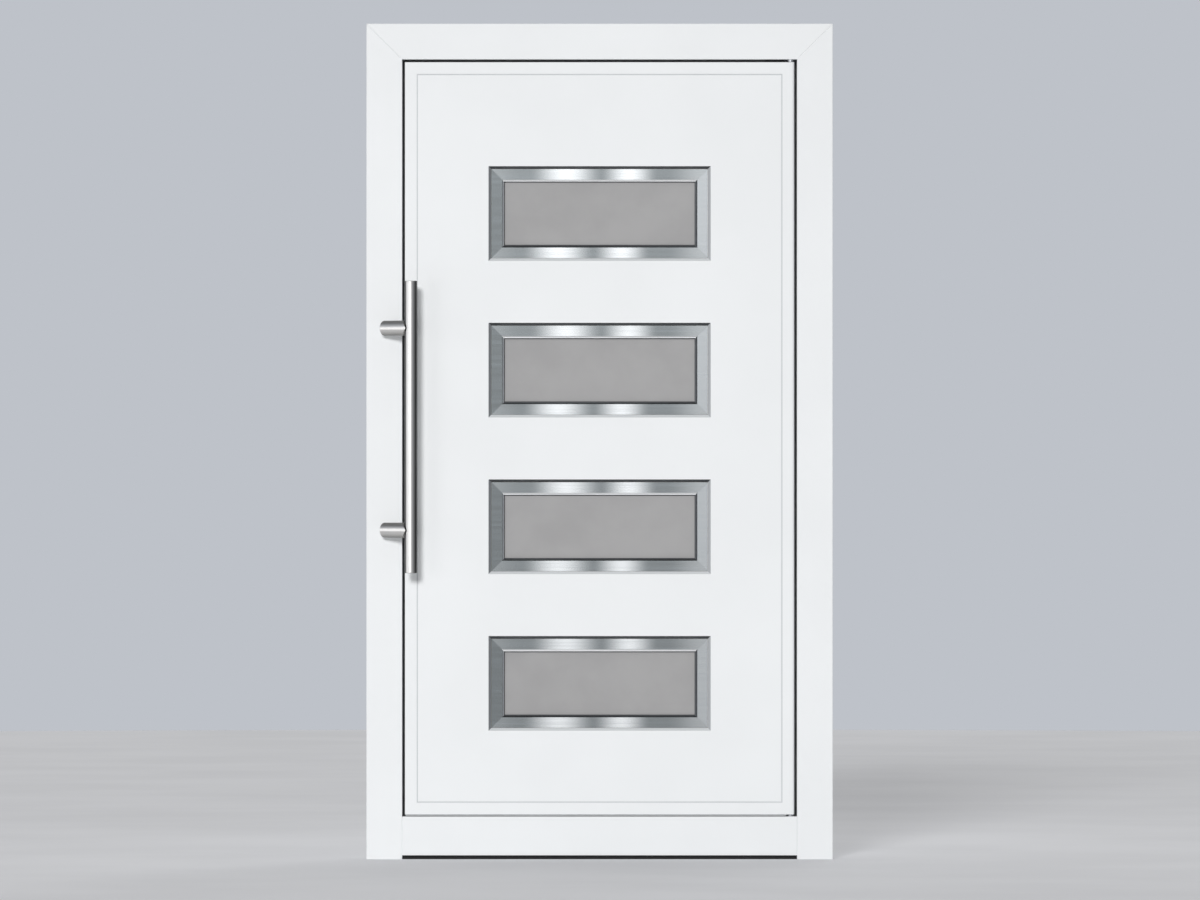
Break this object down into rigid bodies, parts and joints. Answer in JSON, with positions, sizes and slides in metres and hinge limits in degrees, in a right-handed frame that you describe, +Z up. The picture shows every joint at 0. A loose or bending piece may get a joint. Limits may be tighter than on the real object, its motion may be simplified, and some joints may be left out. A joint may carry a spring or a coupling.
{
  "type": "front door",
  "caption": "White metal front door with frame, flush leaf, stacked slot windows in brushed steel trims, long pull bar, plinth and inside lever.",
  "frame": {"origin": "on the flat underside of the base strip, at the middle of the door's width and of the frame's depth", "axes": "+Z up, +X to the right seen from outdoors, +Y indoors"},
  "size_m": [1.2, 0.2215, 2.15],
  "materials": {
    "frame_finish": "white powder coat, satin",
    "leaf_finish": "white powder coat, satin",
    "threshold_finish": "natural anodised",
    "strip_plastic": "black, matt",
    "seal_rubber": "black, matt",
    "trim_steel": "brushed along the width",
    "satin_glass": "satin, privacy",
    "spacer_metal": "mill",
    "core_foam": "rigid foam",
    "handle_steel": "brushed",
    "lever_steel": "brushed",
    "lock_steel": "satin",
    "cylinder_brass": "nickel-plated",
    "pivot_steel": "plain"
  },
  "bodies": {
    "frame": {"jamb_left": "frame_finish", "jamb_right": "frame_finish", "head": "frame_finish", "plinth": "frame_finish", "threshold": "threshold_finish", "base_strip": "strip_plastic", "frame_gasket": "seal_rubber", "strike_plate": "lock_steel", "pivot_pin_bottom": "pivot_steel", "pivot_pin_top": "pivot_steel"},
    "leaf": {"stile_lock": "leaf_finish", "stile_hinge": "leaf_finish", "rail_top": "leaf_finish", "rail_bottom": "leaf_finish", "outer_panel": "leaf_finish", "inner_panel": "leaf_finish", "core": "core_foam", "glass_spacers": "spacer_metal", "window_gaskets": "seal_rubber", "handle_bar": "handle_steel", "handle_support_upper": "handle_steel", "handle_support_lower": "handle_steel", "lock_case": "lock_steel", "lock_faceplate": "lock_steel", "latch_bolt": "lock_steel", "dead_bolt": "lock_steel", "lever_plate": "lever_steel", "lever_handle": "lever_steel", "lock_cylinder": "cylinder_brass", "pivot_plate_bottom": "pivot_steel", "pivot_plate_top": "pivot_steel", "outer_trim_1": "trim_steel", "glass_unit_1": "satin_glass", "inner_trim_1": "trim_steel", "outer_trim_2": "trim_steel", "glass_unit_2": "satin_glass", "inner_trim_2": "trim_steel", "outer_trim_3": "trim_steel", "glass_unit_3": "satin_glass", "inner_trim_3": "trim_steel", "outer_trim_4": "trim_steel", "glass_unit_4": "satin_glass", "inner_trim_4": "trim_steel"}
  },
  "joints": [
    {"name": "leaf_swing", "type": "hinge", "parent": "frame", "child": "leaf", "pos_m": [0.491, -0.036, 0.11], "axis": [0, 0, 1], "range_deg": [0, 95]}
  ]
}
